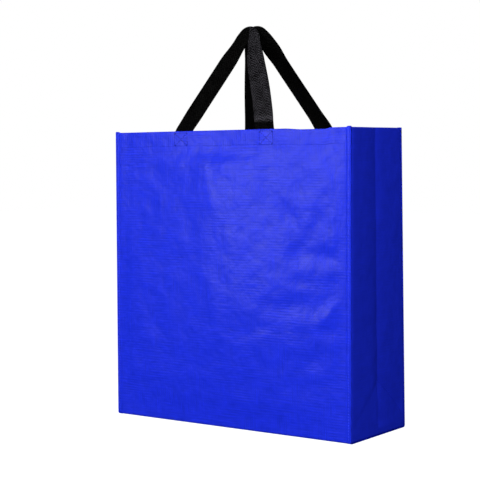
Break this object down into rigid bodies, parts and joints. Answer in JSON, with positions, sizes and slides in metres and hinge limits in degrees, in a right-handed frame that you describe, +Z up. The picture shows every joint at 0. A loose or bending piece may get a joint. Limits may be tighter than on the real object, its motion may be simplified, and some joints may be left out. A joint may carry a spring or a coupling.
{
  "type": "woven polypropylene bag",
  "caption": "Upright open shopping bag of laminated woven polypropylene sheet with creased side panels and webbing handles drawn together above the mouth.",
  "frame": {"origin": "on the floor, under the middle of the bag's box", "axes": "+Z up, towards the top of the handles; +Y front to back, so the front panel faces -Y; +X to the right along the front panel"},
  "size_m": [0.4, 0.14, 0.555],
  "materials": {
    "woven_sheet": "semi-gloss laminated woven tape, blue",
    "webbing": "matt herringbone webbing, black"
  },
  "bodies": {
    "root": {"body_sheet": "woven_sheet", "gusset_right": "woven_sheet", "gusset_left": "woven_sheet", "handle_front": "webbing", "handle_back": "webbing"}
  },
  "joints": []
}
